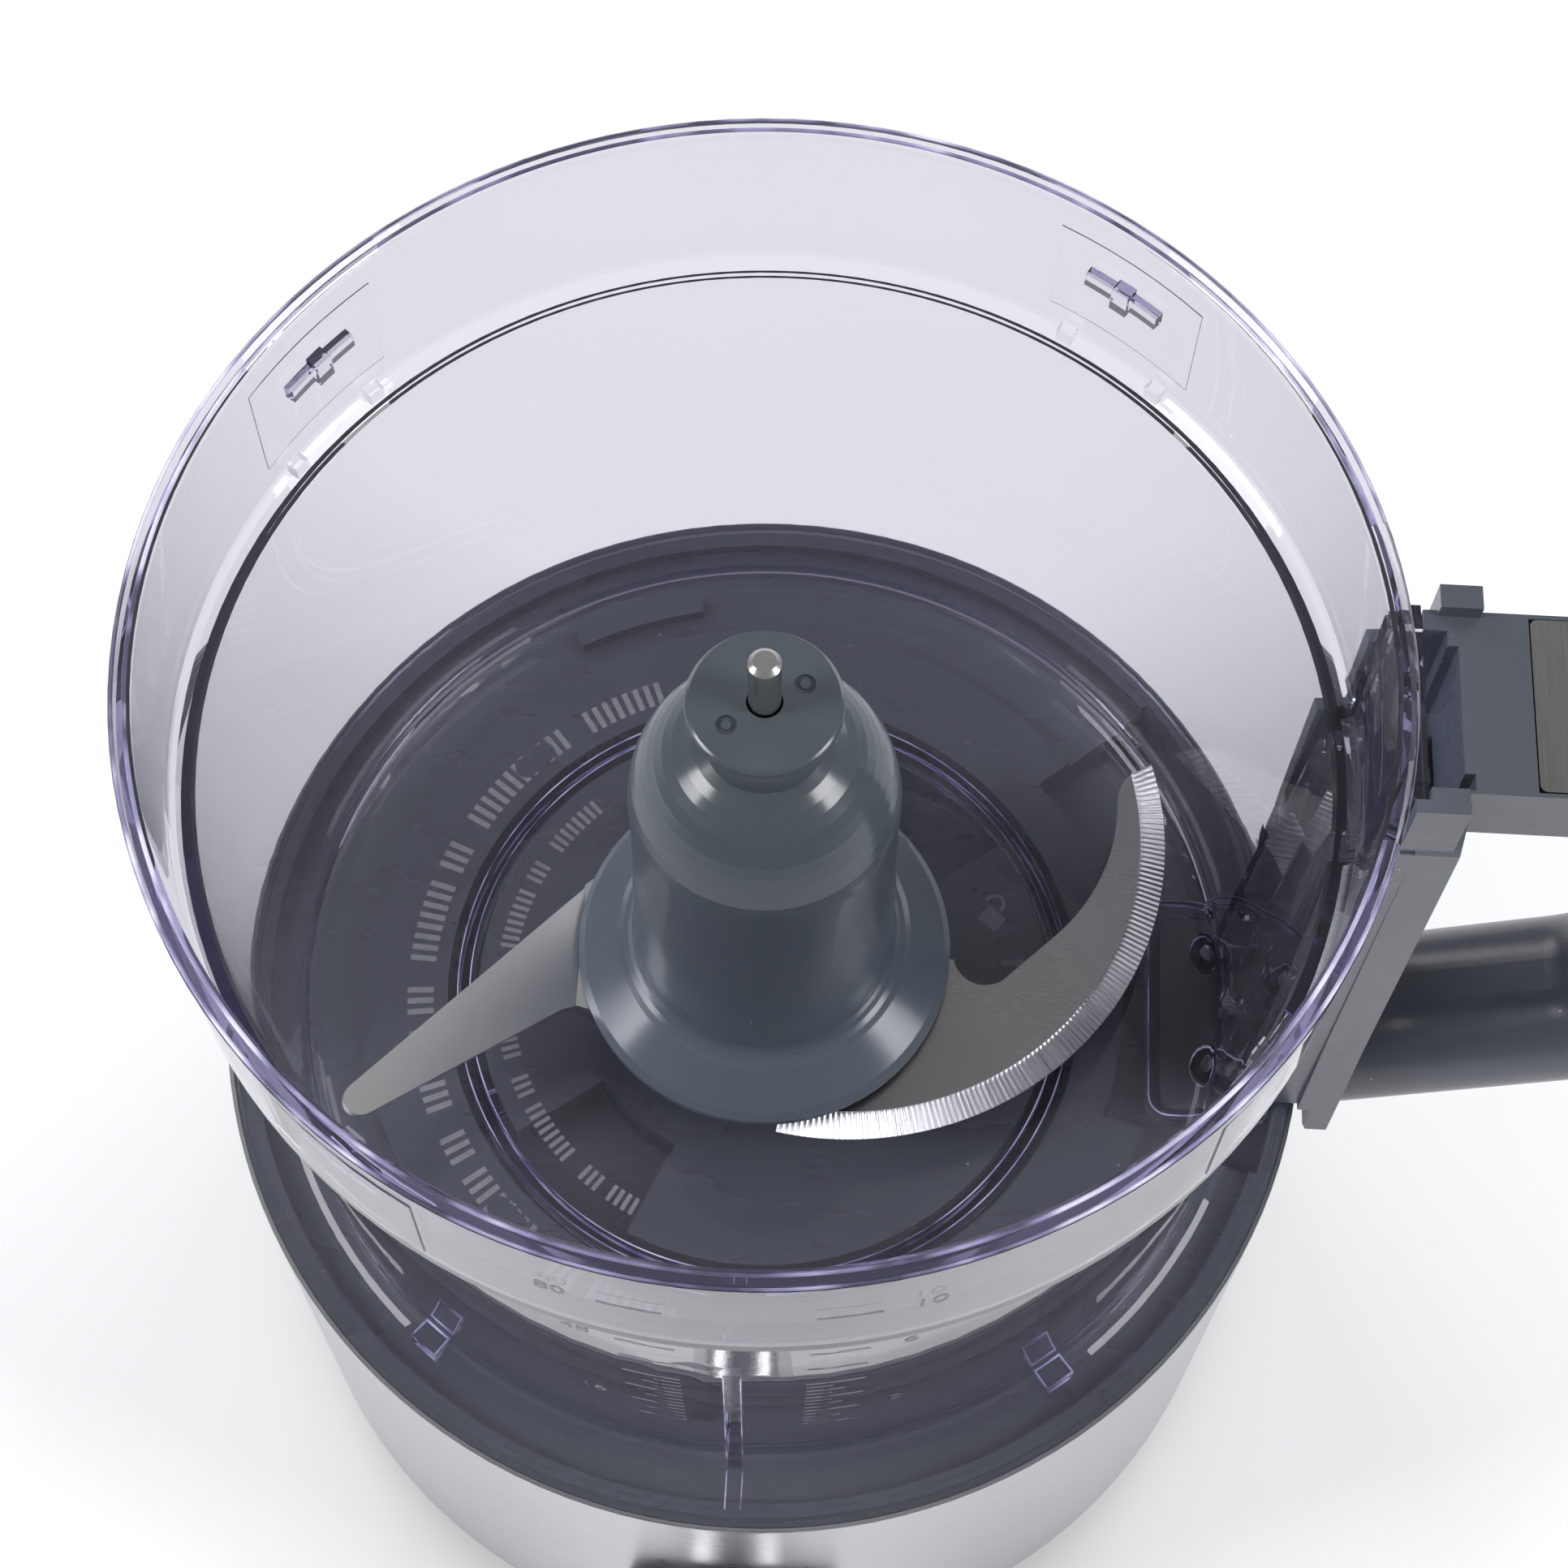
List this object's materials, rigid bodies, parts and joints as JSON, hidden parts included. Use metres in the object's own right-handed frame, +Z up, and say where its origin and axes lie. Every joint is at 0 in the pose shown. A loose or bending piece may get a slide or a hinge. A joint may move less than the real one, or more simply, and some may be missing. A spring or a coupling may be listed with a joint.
{
  "type": "food processor",
  "caption": "Motor base in a steel band, with a clear twist-lock bowl, a loop handle and a chopping rotor on a driven spindle, shown with its lid off.",
  "frame": {"origin": "where the spindle's axis meets the table", "axes": "+Z up along the spindle, +X towards the bowl's handle, -Y towards the control knob"},
  "size_m": [0.277, 0.2311, 0.265],
  "materials": {
    "clear_plastic": "clear polycarbonate, polished",
    "grey_plastic": "satin",
    "dark_plastic": "fine matt",
    "hub_plastic": "glossy",
    "band_steel": "brushed round the band",
    "inlay_steel": "brushed along the arm",
    "blade_steel": "satin, ground edge",
    "bright_steel": "bright",
    "spring_steel": "drawn wire",
    "rubber": "matt",
    "lamination": "stacked sheets",
    "copper": "enamelled wire",
    "bracket_alloy": "die cast",
    "bronze": "sintered",
    "white_plastic": "satin",
    "board": "solder mask",
    "knob_metal": "spun aluminium look, metallised"
  },
  "bodies": {
    "base": {"rubber_feet": "rubber", "bottom_tray": "dark_plastic", "tray_screws": "bright_steel", "steel_band": "band_steel", "base_cover": "grey_plastic", "stator_core": "lamination", "stator_windings": "copper", "upper_bracket": "bracket_alloy", "lower_bracket": "bracket_alloy", "motor_bolts": "bright_steel", "motor_grommets": "rubber", "upper_bearing": "bright_steel", "lower_bearing": "bright_steel", "tower_bush": "bronze", "spindle_seal": "rubber", "run_capacitor": "white_plastic", "control_board": "board", "selector_switch": "dark_plastic", "knob_bezel": "dark_plastic", "interlock_switch": "dark_plastic", "switch_bracket": "bright_steel", "cord_gland": "rubber", "plunger_spring": "spring_steel"},
    "spindle": {"drive_spindle": "bright_steel", "rotor_core": "lamination", "cooling_fan": "white_plastic", "shaft_clip": "spring_steel"},
    "blade": {"blade_hub": "hub_plastic", "hub_socket": "white_plastic", "lower_blade": "blade_steel", "upper_blade": "blade_steel", "blade_collar": "hub_plastic"},
    "bowl": {"bowl": "clear_plastic", "handle_body": "grey_plastic", "handle_inlay": "inlay_steel", "handle_screws": "bright_steel", "rod_guide_plate": "dark_plastic", "guide_screws": "bright_steel", "rod_spring": "spring_steel"},
    "rod": {"interlock_rod": "dark_plastic"},
    "plunger": {"base_plunger": "dark_plastic"},
    "knob": {"control_knob": "knob_metal", "switch_spindle": "white_plastic"}
  },
  "joints": [
    {"name": "spindle_spin", "type": "hinge", "parent": "base", "child": "spindle", "pos_m": [0, 0, 0.06], "axis": [0, 0, 1], "continuous": true},
    {"name": "blade_lift", "type": "slide", "parent": "spindle", "child": "blade", "axis": [0, 0, 1], "range_m": [0, 0.15]},
    {"name": "bowl_twist", "type": "hinge", "parent": "base", "child": "bowl", "pos_m": [0, 0, 0.1215], "axis": [0, 0, 1], "range_deg": [0, 22]},
    {"name": "rod_press", "type": "slide", "parent": "bowl", "child": "rod", "axis": [0, 0, 1], "range_m": [-0.0035, 0], "stiffness_N_per_m": 250, "springref_m": 0.002, "deforming": ["rod_spring"]},
    {"name": "plunger_press", "type": "slide", "parent": "base", "child": "plunger", "axis": [0, 0, 1], "range_m": [-0.0035, 0], "stiffness_N_per_m": 150, "springref_m": 0.002, "deforming": ["plunger_spring"]},
    {"name": "knob_turn", "type": "hinge", "parent": "base", "child": "knob", "pos_m": [0, -0.1, 0.062], "axis": [0, 1, 0], "range_deg": [-30, 60]}
  ],
  "couplings": [
    {"joint": "plunger_press", "follows": "rod_press", "ratio": 1}
  ]
}
